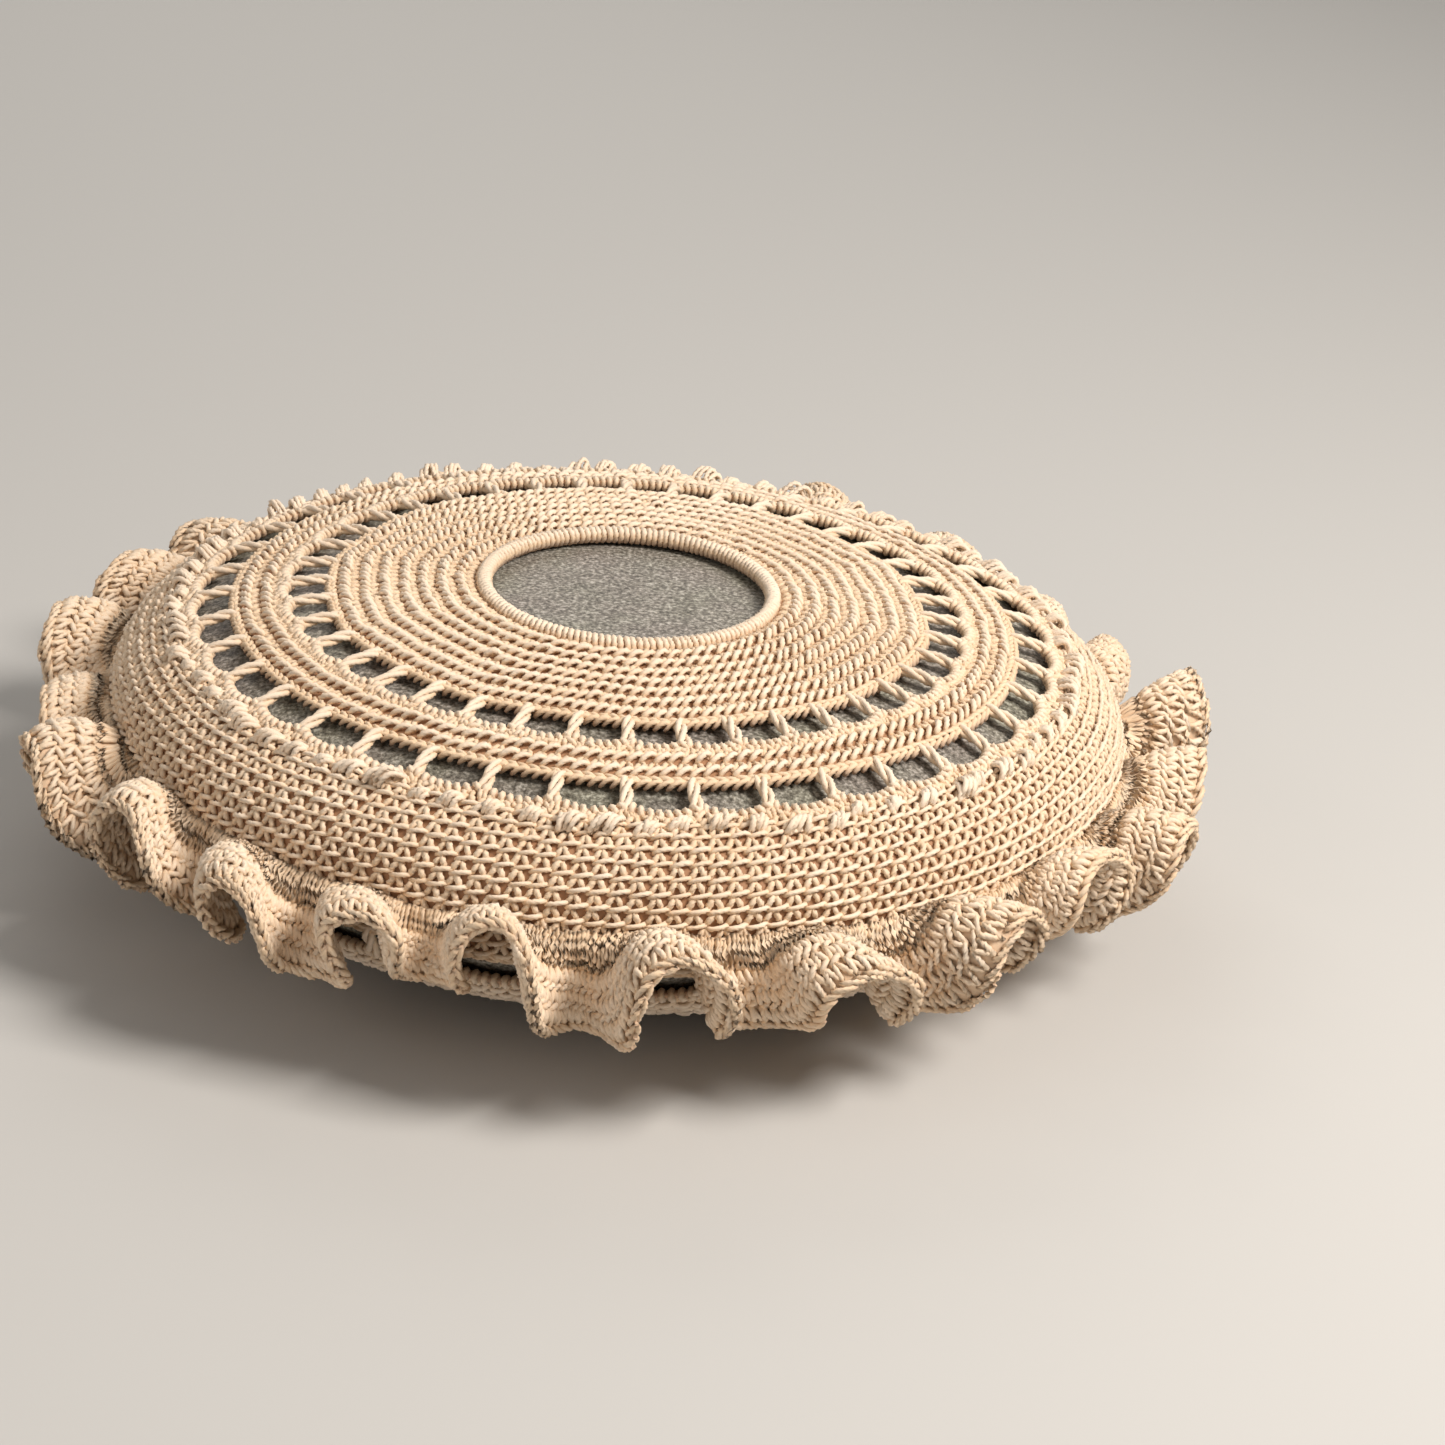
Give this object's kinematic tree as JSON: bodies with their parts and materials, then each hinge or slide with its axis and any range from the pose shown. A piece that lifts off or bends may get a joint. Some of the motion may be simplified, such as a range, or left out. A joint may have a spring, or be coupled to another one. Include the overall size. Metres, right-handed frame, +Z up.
{
  "type": "pin cushion",
  "caption": "Flattened round weighted pin cushion: a smooth stone in a close crocheted cotton cover with an open top window, lace rounds and a ruffled edge.",
  "frame": {"origin": "centre of the flat rest face under the body, on the surface that it stands on", "axes": "+Z up through the centre of the window; the part is round about +Z, and +X and +Y lie in the rest face"},
  "size_m": [0.1877, 0.1878, 0.0477],
  "materials": {
    "stone": "satin",
    "crochet_cotton": "matte"
  },
  "bodies": {
    "root": {"base_disc": "crochet_cotton", "bobble_round": "crochet_cotton", "hem_round_1": "crochet_cotton", "hem_round_2": "crochet_cotton", "inner_lace_inner_chain": "crochet_cotton", "inner_lace_outer_chain": "crochet_cotton", "inner_lace_posts": "crochet_cotton", "middle_round_1": "crochet_cotton", "middle_round_2": "crochet_cotton", "outer_lace_inner_chain": "crochet_cotton", "outer_lace_outer_chain": "crochet_cotton", "outer_lace_posts": "crochet_cotton", "ruffle_edge_round": "crochet_cotton", "ruffle_foundation": "crochet_cotton", "ruffle_low_round_1": "crochet_cotton", "ruffle_low_round_2": "crochet_cotton", "ruffle_tall_round": "crochet_cotton", "side_round_1": "crochet_cotton", "side_round_2": "crochet_cotton", "side_round_3": "crochet_cotton", "side_round_4": "crochet_cotton", "side_round_5": "crochet_cotton", "side_round_6": "crochet_cotton", "stone_core": "stone", "top_round_1": "crochet_cotton", "top_round_2": "crochet_cotton", "top_round_3": "crochet_cotton", "top_round_4": "crochet_cotton", "top_round_5": "crochet_cotton", "top_round_6": "crochet_cotton", "top_round_7": "crochet_cotton", "under_lace_inner_chain": "crochet_cotton", "under_lace_outer_chain": "crochet_cotton", "under_lace_posts": "crochet_cotton", "under_round_1": "crochet_cotton", "under_round_10": "crochet_cotton", "under_round_2": "crochet_cotton", "under_round_3": "crochet_cotton", "under_round_4": "crochet_cotton", "under_round_5": "crochet_cotton", "under_round_6": "crochet_cotton", "under_round_7": "crochet_cotton", "under_round_8": "crochet_cotton", "under_round_9": "crochet_cotton", "window_ring": "crochet_cotton"}
  },
  "joints": []
}
